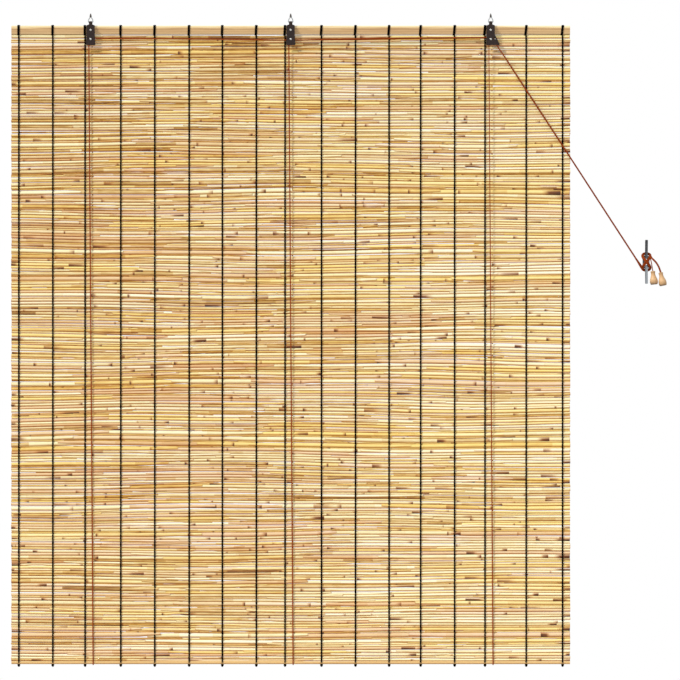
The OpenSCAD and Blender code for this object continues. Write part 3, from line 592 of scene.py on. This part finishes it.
def makeReedLine(draw, row, middle, radius, depth, start, end, lapIn, lapOut, sideIn, sideOut):
    kinds = [draw.gauss(shade, spread) for shade, spread, share in hues["stems"]]
    tone = draw.choices(kinds, [share for shade, spread, share in hues["stems"]])[0]
    across, down = (start + end) / 2 / mat["edge"], row / mat["rows"] - 0.5
    tone += (hues["base"] + hues["across"] * across + hues["right"] * max(0.0, across) ** 2
             + hues["down"] * down)  # paler to the right and to the foot
    thin = max(0.0, 1 - 2 * radius / rowHeight)
    tone -= hues["thin"] * thin  # thinner reeds are drawn browner
    rise = clamp(draw.gauss(0, mat["jitter"]), -mat["jitterMost"], mat["jitterMost"])
    tilt = draw.gauss(0, mat["tilt"])
    girth = clamp(draw.gauss(1, mat["girth"]), mat["girthLeast"], mat["girthMost"])
    marks, rings = drawMarks(draw, start, end)
    joints = [start] + rings
    tints = [(0.0, hues["plainGold"]), (draw.uniform(*hues["blush"]), 0.0),
             (0.0, draw.uniform(*hues["gold"]))]
    shares = [share + more * across for share, more in zip(hues["tintShares"], hues["tintAcross"])]
    blush, gold = draw.choices(tints, shares)[0]  # plain, blushed or golden
    blush, gold = blush * (1 - thin), gold + (1 - gold) * min(1.0, 2 * thin)
    skins = [tone + draw.gauss(0, hues["skin"]) for joint in joints]  # a shade for each length between rings
    known = sorted(marks)
    count = max(2, round((end - start) / mat["step"]))
    steps = [start + (end - start) * i / count for i in range(1, count)]
    for side in (row - 1, row):
        for slit in slits.get(side, []):
            steps += [x + d for x in slit for d in (-mat["slitEnd"], mat["slitEnd"])]
    steps = [x for x in steps if start + mat["tipClear"] < x < end - mat["tipClear"]
             and all(abs(x - m) > mat["markClear"] for m in known)]
    line = {"points": [], "radius": [], "reedTone": [], "reedMark": [], "reedBlush": blush, "reedGold": gold,
            "flatness": [], "middleY": []}
    for x in sorted(known + steps):
        inward = 1 - ease((x - start) / lapIn) if lapIn else 0.0
        outward = 1 - ease((end - x) / lapOut) if lapOut else 0.0
        lapped = inward * sideIn + outward * sideOut
        above, below = opening(row - 1, x), opening(row, x)
        apart = max(above, below)
        share = 2 * (x - start) / (end - start) - 1
        y = mat["plane"] + depth - mat["lapDepth"] * lapped
        line["middleY"].append(y * mm)
        line["points"].append((x, y, middle + stray(x, row) + mat["lapRise"] * lapped
                               + mat["slitRise"] * (below - above) + (rise + tilt * share) * (1 - apart)))
        slim = 1 - mat["lapThin"] * max(inward, outward)
        swell = mat["ringSwell"] if x in rings else 1.0
        line["radius"].append(radius * slim * swell * (girth + (1 - girth) * apart) - mat["slitThin"] * apart)
        line["flatness"].append(max(0.0, 1 - mat["deepest"] / line["radius"][-1]))
        skin = skins[sum(1 for joint in joints if joint <= x) - 1]
        line["reedTone"].append(clamp(skin, 0.0, 1.0))
        line["reedMark"].append(float(np.interp(x, known, [marks[m] for m in known])))
    return line


draw = random.Random(mat["seed"])
reedLines = []
# where rows meet: not quite even, apart from the head, the foot and the slits
shifts = [0.0 if row - 1 in slits or row in (0, mat["rows"]) else draw.gauss(0, mat["uneven"])
          for row in range(mat["rows"] + 1)]
shifts[0] = mat["topRise"]
for row in range(mat["rows"]):
    middle = rowZ(row) + (shifts[row] + shifts[row + 1]) / 2
    half = (rowHeight + shifts[row] - shifts[row + 1]) / 2
    radius = clamp(half + mat["close"], mat["thinnest"], mat["thickest"])
    depth = draw.uniform(-1, 1) * mat["stagger"]
    x, lapIn, sideIn = -mat["edge"] + draw.uniform(-mat["ragged"], mat["ragged"]), 0.0, 0
    end = x + draw.uniform(mat["firstLeast"], mat["longest"])  # the first one is cut anywhere
    last = False
    while not last:
        last = end > mat["edge"] - mat["leastEnd"]
        end = mat["edge"] + draw.uniform(-mat["ragged"], mat["ragged"]) if last else end
        lapOut, sideOut = (0.0, 0) if last else (draw.uniform(*mat["lap"]), draw.choice([-1, 1]))
        line = makeReedLine(draw, row, middle, radius, depth, x, end, lapIn, lapOut, sideIn, sideOut)
        reedLines.append((row, line))
        x, lapIn, sideIn = end - lapOut, lapOut, -sideOut
        end = x + draw.uniform(mat["shortest"], mat["longest"])
for part in range(mat["pieces"]):
    chosen = [line for row, line in reedLines if row * mat["pieces"] // mat["rows"] == part]
    piece = strandPiece("reedRows{}".format(part + 1), chosen, naturalReed, mat["sides"])
    dress(piece, "blind", "reed", *(["reed_mat"] if part == 0 else []))
print("reeds:", len(reedLines), "slits:", sum(len(v) for v in slits.values()))


# black cotton twine: matt, with the slanted twist of its three plies
def makeCotton():
    made, tree, shader = newMaterial("blackCottonTwine")
    rise, spread = strandTwist(tree, yarns=3, pitch=5.0)
    twist = addNode(tree, "ShaderNodeMath", {"operation": "ADD"}, links={0: spread, 1: rise})
    wave = addNode(tree, "ShaderNodeMath", {"operation": "SINE"}, links={0: twist.outputs[0]})
    level = addNode(tree, "ShaderNodeMapRange", values={"From Min": -1.0, "From Max": 1.0},
                    links={"Value": wave.outputs[0]})
    colour = setRamp(addNode(tree, "ShaderNodeValToRGB", links={"Fac": level.outputs["Result"]}),
                     [(0.0, "#020202"), (1.0, "#0c0a09")])
    joinShader(tree, shader, colour.outputs["Color"], level.outputs["Result"], 0.7, 0.2,
               roughness=0.9, specular=0.0)
    return made


blackCotton = makeCotton()
warp = {"count": 17, "radius": 2.2, "reach": 3.8, "beside": 0.3, "square": 0.45, "perRow": 4, "sides": 5,
        "slatDepth": 4.0, "wrapTurns": 4, "wrapSteps": 20, "wrapPitch": 1.4, "wrapRadius": 1.0,
        "wrapLean": 2.6, "wrapSquare": 0.22, "wrapPass": 0.2, "knotDrop": 2.7,
        "knotSize": 0.82, "knotCord": 1.7}


# two ends of twine that change faces between the rows and hold each reed between them
def twinedEnds(x):
    ends = []
    for side in (-1, 1):
        line = []
        for i in range(mat["rows"] * warp["perRow"] + 3):
            turn = math.pi * i / warp["perRow"]
            row = i / warp["perRow"] - 0.5
            line.append((x + side * warp["beside"] * math.cos(turn),
                         mat["plane"] + side * warp["reach"] * squared(math.sin(turn), warp["square"]),
                         rowZ(row) + stray(x, row)))
        ends.append({"points": line, "radius": warp["radius"]})
    return ends


# turns of twine close round the slat, from its back, each moving on behind it
def slatWrap(x, lean):
    halfHeight = (slatTop - slatFoot) / 2 + warp["wrapRadius"]
    halfDepth = warp["slatDepth"] + warp["wrapRadius"]
    wrap = []
    for i in range(warp["wrapTurns"] * warp["wrapSteps"] + 1):
        turn = 2 * math.pi * (i / warp["wrapSteps"] + 0.5)
        deep, up = squared(math.cos(turn), warp["wrapSquare"]), squared(math.sin(turn), warp["wrapSquare"])
        share = (i % warp["wrapSteps"]) / warp["wrapSteps"]
        done = i // warp["wrapSteps"] + ease((share - (1 - warp["wrapPass"])) / warp["wrapPass"])
        wrap.append((x + (done - warp["wrapTurns"] / 2) * warp["wrapPitch"] + lean / 2 * up,
                     mat["plane"] - halfDepth * deep, slatMiddle + halfHeight * up))
    return {"points": wrap, "radius": warp["wrapRadius"]}


def footKnot(x):
    centre = (x, mat["plane"] - warp["reach"], lay["foot"] - warp["knotDrop"])
    return {"points": trefoil(centre, warp["knotSize"]), "radius": warp["knotCord"]}


for i in range(warp["count"]):
    number = "{:02d}".format(i + 1)
    low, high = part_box("warp_cord_" + number)
    x = (low[0] + high[0]) / 2 / mm
    lean = warp["wrapLean"] * i / (warp["count"] - 1)  # straight on the left, pulled over on the right
    strands = twinedEnds(x) + [slatWrap(x, lean), footKnot(x)]
    piece = strandPiece("warpTwine" + number, strands, blackCotton, warp["sides"])
    dress(piece, "blind", "black_cotton", "warp_cord_" + number)
print("warp twines:", warp["count"])


# a finish whose colour changes with height and is made uneven by specks; grit and heights are in mm
def makeGraded(name, grit, bands, foot, top, share, bump, **numbers):
    made, tree, shader = newMaterial(name)
    spot = addNode(tree, "ShaderNodeTexCoord")
    scale = addNode(tree, "ShaderNodeMapping", values={"Scale": tuple(1 / (g * mm) for g in grit["size"])},
                    links={"Vector": spot.outputs["Object"]})
    speck = addNode(tree, "ShaderNodeTexNoise",
                    values={"Scale": 1.0, "Detail": grit["detail"], "Roughness": grit["roughness"]},
                    links={"Vector": scale.outputs["Vector"]})
    split = addNode(tree, "ShaderNodeSeparateXYZ", links={0: spot.outputs["Object"]})
    height = addNode(tree, "ShaderNodeMapRange", values={"From Min": foot * mm, "From Max": top * mm},
                     links={"Value": split.outputs["Z"]})
    uneven = addNode(tree, "ShaderNodeMath", {"operation": "MULTIPLY_ADD"}, {1: share, 2: -share / 2},
                     {0: speck.outputs["Fac"]})
    level = addNode(tree, "ShaderNodeMath", {"operation": "ADD", "use_clamp": True},
                    links={0: height.outputs["Result"], 1: uneven.outputs[0]})
    colour = setRamp(addNode(tree, "ShaderNodeValToRGB", links={"Fac": level.outputs[0]}), bands)
    joinShader(tree, shader, colour.outputs["Color"], speck.outputs["Fac"], 0.3, bump, **numbers)
    return made


# planed bamboo: long pale fibres between darker ones, the skin side browner, the slat's top band pale as
# painted highlight
bambooGrit = {"size": (160.0, 2.6, 2.6), "detail": 4.0, "roughness": 0.6}  # bundles drawn 2.6 mm wide
slatBandsTopHighlight = [(0.0, "#a3845a"), (0.2, "#c4a270"), (0.36, "#b08a5a"), (0.5, "#c8a470"), (0.62, "#a0764a"),
             (0.73, "#cdac78"), (0.87, "#e2ca98"), (1.0, "#eedfb4")]
# the rounded batten darker at its foot as painted shade and pale on top as painted highlight
battenBandsShaded = [(0.0, "#a57c46"), (0.5, "#cfa566"), (1.0, "#e2c184")]
battenMiddle, battenHalf = heights("bottom_batten")[1], 3.75
slatBamboo = makeGraded("planedBamboo", bambooGrit, slatBandsTopHighlight, slatFoot, slatTop,
                        share=0.7, bump=0.15, roughness=0.5)
battenBamboo = makeGraded("roundedBamboo", bambooGrit, battenBandsShaded, battenMiddle - battenHalf,
                          battenMiddle + battenHalf, share=0.7, bump=0.15, roughness=0.5)
# cast zinc, polished: the upper horn dark and the lower one bright as painted reflection
castGrit = {"size": (9.0, 9.0, 30.0), "detail": 3.0, "roughness": 0.5}
castBandsPaintedReflection = [(0.0, "#6b6f72"), (0.3, "#676b6e"), (0.46, "#54575a"), (0.6, "#414244"), (1.0, "#333436")]
cleatFoot, cleatTop = heights("cord_cleat")[::2]
cleatMetal = makeGraded("polishedDieCastZinc", castGrit, castBandsPaintedReflection, cleatFoot, cleatTop,
                        share=0.12, bump=0.01, roughness=0.26, metallic=1.0)
# beech turned on a lathe: pale, grain up the tassel, the foot darker as painted shade
beechGrit = {"size": (1.6, 1.6, 1.6 / 0.12), "detail": 3.0, "roughness": 0.5}
beechBandsShadedFoot = [(0.0, "#57442f"), (0.09, "#84684a"), (0.2, "#b38d62"), (0.42, "#caa477"), (0.75, "#c2996b"),
              (1.0, "#aa8659")]
turnedWood = {}
for which in ("near", "far"):
    tasselFoot, tasselTop = heights(which + "_tassel")[::2]
    turnedWood[which] = makeGraded(which + "TurnedBeech", beechGrit, beechBandsShadedFoot, tasselFoot, tasselTop,
                                   share=0.22, bump=0.03, roughness=0.5)


# one finish that is a little uneven: grit in mm, two close colours, and bump from the same grit
def makeFinish(name, grit, dark, light, bump=0.02, **numbers):
    made, tree, shader = newMaterial(name)
    spot = addNode(tree, "ShaderNodeTexCoord")
    speck = addNode(tree, "ShaderNodeTexNoise", values={"Scale": 1 / (grit * mm), "Detail": 3.0},
                    links={"Vector": spot.outputs["Object"]})
    colour = setRamp(addNode(tree, "ShaderNodeValToRGB", links={"Fac": speck.outputs["Fac"]}),
                     [(0.3, dark), (0.7, light)])
    joinShader(tree, shader, colour.outputs["Color"], speck.outputs["Fac"], 0.4, bump, **numbers)
    return made


# stoved enamel on a pressed strap: nearly black, dull, with a little orange peel
greyEnamel = makeFinish("greyBrownEnamel", 1.6, "#1a1312", "#322623", 0.1, roughness=0.6, specular=0.15)
# drawn wire, bright and a little cloudy
zincWire = makeFinish("zincPlatedWire", 0.8, "#85888a", "#a9abac", roughness=0.3, metallic=1.0)
# rolled steel thread, coloured dark as painted shade
threadShadedDark = makeFinish("rolledSteelThread", 0.6, "#3a3632", "#57524c", roughness=0.5, metallic=0.8)
# pressed rivet heads with a bright plate
nickelRivet = makeFinish("nickelPlatedRivet", 1.0, "#8e8d89", "#b3b2ae", roughness=0.38, metallic=1.0)
# washers, spacers and the pin, plain and bright
smallSteel = makeFinish("turnedSteel", 0.7, "#85878a", "#a5a7a9", roughness=0.35, metallic=1.0)
# black sheaves, softly shiny
darkNylon = makeFinish("mouldedNylon", 0.9, "#1d1b1a", "#2c2927", roughness=0.45)
# toothed roller, dull with age
brassRoller = makeFinish("milledBrass", 0.8, "#6f5527", "#8d6d38", roughness=0.45, metallic=1.0)


def finishNode(name, finish):
    for slot in nodes[name].material_slots:
        slot.material = finish


# a merged copy of a part with its corners eased by a width in mm; sides over flatOver mm2 are shaded flat
def easedCopy(pieceName, node, finish, width, sharpest=35, segments=2, flatOver=0):
    weld, level = 0.002 * mm, math.radians(0.5)
    mesh = nodes[node].data.copy()
    mesh.name = pieceName
    mesh.materials.clear()
    mesh.materials.append(finish)
    shell = bmesh.new()
    shell.from_mesh(mesh)
    bmesh.ops.remove_doubles(shell, verts=shell.verts, dist=weld)
    bmesh.ops.dissolve_limit(shell, angle_limit=level, verts=shell.verts, edges=shell.edges)
    for face in shell.faces:
        face.smooth = True
        face.material_index = 0
    shell.to_mesh(mesh)
    shell.free()
    piece = place(bpy.data.objects.new(pieceName, mesh))
    edge = piece.modifiers.new("easedEdge", "BEVEL")
    edge.width = width * mm
    edge.segments = segments
    edge.limit_method = "ANGLE"
    edge.angle_limit = math.radians(sharpest)
    bpy.context.view_layer.update()
    eased = bpy.data.meshes.new_from_object(piece.evaluated_get(bpy.context.evaluated_depsgraph_get()))
    piece.modifiers.remove(edge)
    piece.data = eased
    piece.data.set_sharp_from_angle(angle=math.radians(sharpest))
    for face in piece.data.polygons:
        face.use_smooth = not flatOver or face.area < flatOver * mm ** 2
    return piece


finishNode("head_slat", slatBamboo)
finishNode("bottom_batten", battenBamboo)
finishNode("lock_pin", smallSteel)
finishNode("lock_roller", brassRoller)
eyeFoot, eyeTop = heights("middle_screw_eye")[::2]
# screw eye: a bent wire, and a tapered core with a ridge wound round it
eye = {"wire": 1.25, "sides": 12, "halfFoot": 6.4, "hinge": eyeFoot + 1.144, "apex": 0.88, "top": -1.1,
       "bend": 2.4, "bendSteps": 8, "bulge": 1.1, "bulgeAt": (0.2, 0.4, 0.6),
       "straight": eyeTop - 3.6, "tip": 3.5, "coreRises": (-2.4, -1.4, 0.0),
       "coreRadii": (1.7, 2.6, 2.5, 1.7, 0.25),
       "ridge": 0.5, "ridgeAt": 2.1, "pitch": 1.7, "turnSteps": 16, "ridgeEnd": 0.8,
       "taper": (1.15, 0.8, 0.1), "ridgeLeast": 0.3}


def eyeLoop(x):
    corners = [(eye["apex"], eye["top"]), (eye["halfFoot"], eye["hinge"])]
    corners += [(-a, b) for a, b in reversed(corners)]
    line = [corners[0]]
    for before, corner, after in zip(corners, corners[1:], corners[2:]):
        before, corner, after = Vector(before), Vector(corner), Vector(after)
        start = corner + (before - corner).normalized() * eye["bend"]
        end = corner + (after - corner).normalized() * eye["bend"]
        shares = [i / eye["bendSteps"] for i in range(eye["bendSteps"] + 1)]
        line += [tuple(start.lerp(corner, t).lerp(corner.lerp(end, t), t)) for t in shares]
    line.append(corners[-1])
    apex, foot = Vector(corners[0]), Vector(corners[1])
    sideways = [apex.lerp(foot, t) + Vector((eye["bulge"] * math.sin(math.pi * t), 0))
                for t in eye["bulgeAt"]]
    line[1:1] = [tuple(p) for p in sideways]
    line[-1:-1] = [(-p[0], p[1]) for p in reversed(sideways)]
    return {"points": [(x + a, 0.0, b) for a, b in line], "radius": eye["wire"]}


def eyeThread(x):
    rises = list(eye["coreRises"]) + [eye["straight"], eye["straight"] + eye["tip"]]
    core = {"points": [(x, 0.0, z) for z in rises], "radius": eye["coreRadii"]}
    turns = (eye["straight"] + eye["tip"] * eye["ridgeEnd"]) / eye["pitch"]
    ridge = {"points": [], "radius": []}
    for i in range(int(eye["turnSteps"] * turns)):
        t = i / eye["turnSteps"]
        shrink = float(np.interp(t * eye["pitch"], rises[2:], eye["taper"]))
        out = eye["ridgeAt"] * shrink
        ridge["points"].append((x + out * math.cos(2 * math.pi * t), out * math.sin(2 * math.pi * t),
                                t * eye["pitch"]))
        ridge["radius"].append(eye["ridge"] * (eye["ridgeLeast"] + (1 - eye["ridgeLeast"]) * shrink))
    return [core, ridge]


for h, side in enumerate(hangers):
    x = hangerX(h)
    loop = strandPiece(side + "EyeLoop", [eyeLoop(x)], zincWire, eye["sides"])
    dress(loop, "fixings", "zinc_wire", side + "_screw_eye")
    thread = strandPiece(side + "EyeThread", eyeThread(x), threadShadedDark, eye["sides"])
    dress(thread, "fixings", "zinc_wire")
    case = easedCopy(side + "Case", side + "_case", greyEnamel, 0.25, flatOver=20)
    dress(case, "blind", "grey_enamel", side + "_case")
    for kind in ("axle", "fixing"):
        node = "{}_{}_rivet".format(side, kind)
        rivet = easedCopy(side + kind.capitalize() + "Rivet", node, nickelRivet, 0.12, 40)
        dress(rivet, "blind", "nickel_rivet", node)
    finishNode(side + "_sheave", darkNylon)
    finishNode(side + "_spacer", smallSteel)
    finishNode(side + "_washer", smallSteel)
cleat = easedCopy("wallCleat", "cord_cleat", cleatMetal, 0.9, 30, 3)
dress(cleat, "fixings", "cleat_metal", "cord_cleat")
tassels = {}
for which in ("near", "far"):
    tassels[which] = easedCopy(which + "Tassel", which + "_tassel", turnedWood[which], 0.3, 40)
    dress(tassels[which], "fixings", "turned_wood", which + "_tassel")
print("hangers, cleat and tassels done")


# plain pale floor below the blind, and soft studio light
stage = {"floorZ": -1.75, "floorY": -1.3, "floorRadius": 2.4, "floorDark": "#e3e1dd", "floorLight": "#e4e2de",
         "ambient": 0.445}
floorMesh = bpy.data.meshes.new("paleFloor")
disc = bmesh.new()
bmesh.ops.create_circle(disc, cap_ends=True, radius=stage["floorRadius"], segments=64)
bmesh.ops.translate(disc, verts=disc.verts, vec=(0, stage["floorY"], stage["floorZ"]))
disc.to_mesh(floorMesh)
disc.free()
paleFloor = place(bpy.data.objects.new("paleFloor", floorMesh))
# painted board, matt and all but even
floorMesh.materials.append(makeFinish("paleStudioFloor", 40.0, stage["floorDark"], stage["floorLight"],
                                      roughness=0.8))

# broad lamps far away, so that the head and the foot get the same light; angles in degrees
lamps = {"keySoftbox": {"elevation": 46, "azimuth": -56, "spread": 6, "strength": 3.15},
         "frontFill": {"elevation": 8, "azimuth": 20, "spread": 50, "strength": 0.88}}
for name, given in lamps.items():
    lamp = bpy.data.lights.new(name, "SUN")
    lamp.angle = math.radians(given["spread"])
    lamp.energy = given["strength"]
    stand = place(bpy.data.objects.new(name, lamp))
    stand.rotation_euler = (math.radians(90 - given["elevation"]), 0, math.radians(given["azimuth"]))

# white behind the blind and in what shines, softer on the blind itself
world = bpy.data.worlds.new("whiteStudio")
scene.world = world
world.use_nodes = True
air = world.node_tree
air.nodes.clear()
ray = addNode(air, "ShaderNodeLightPath")
seen = addNode(air, "ShaderNodeMath", {"operation": "MAXIMUM"},
               links={0: ray.outputs["Is Camera Ray"], 1: ray.outputs["Is Glossy Ray"]})
shown = addNode(air, "ShaderNodeMath", {"operation": "MAXIMUM"},
                links={0: seen.outputs[0], 1: ray.outputs["Is Transmission Ray"]})
strength = addNode(air, "ShaderNodeMapRange", values={"To Min": stage["ambient"], "To Max": 1.0},
                   links={"Value": shown.outputs[0]})
glow = addNode(air, "ShaderNodeBackground", values={"Color": linear("#ffffff")},
               links={"Strength": strength.outputs["Result"]})
addNode(air, "ShaderNodeOutputWorld", links={"Surface": glow.outputs["Background"]})
print("stage set")
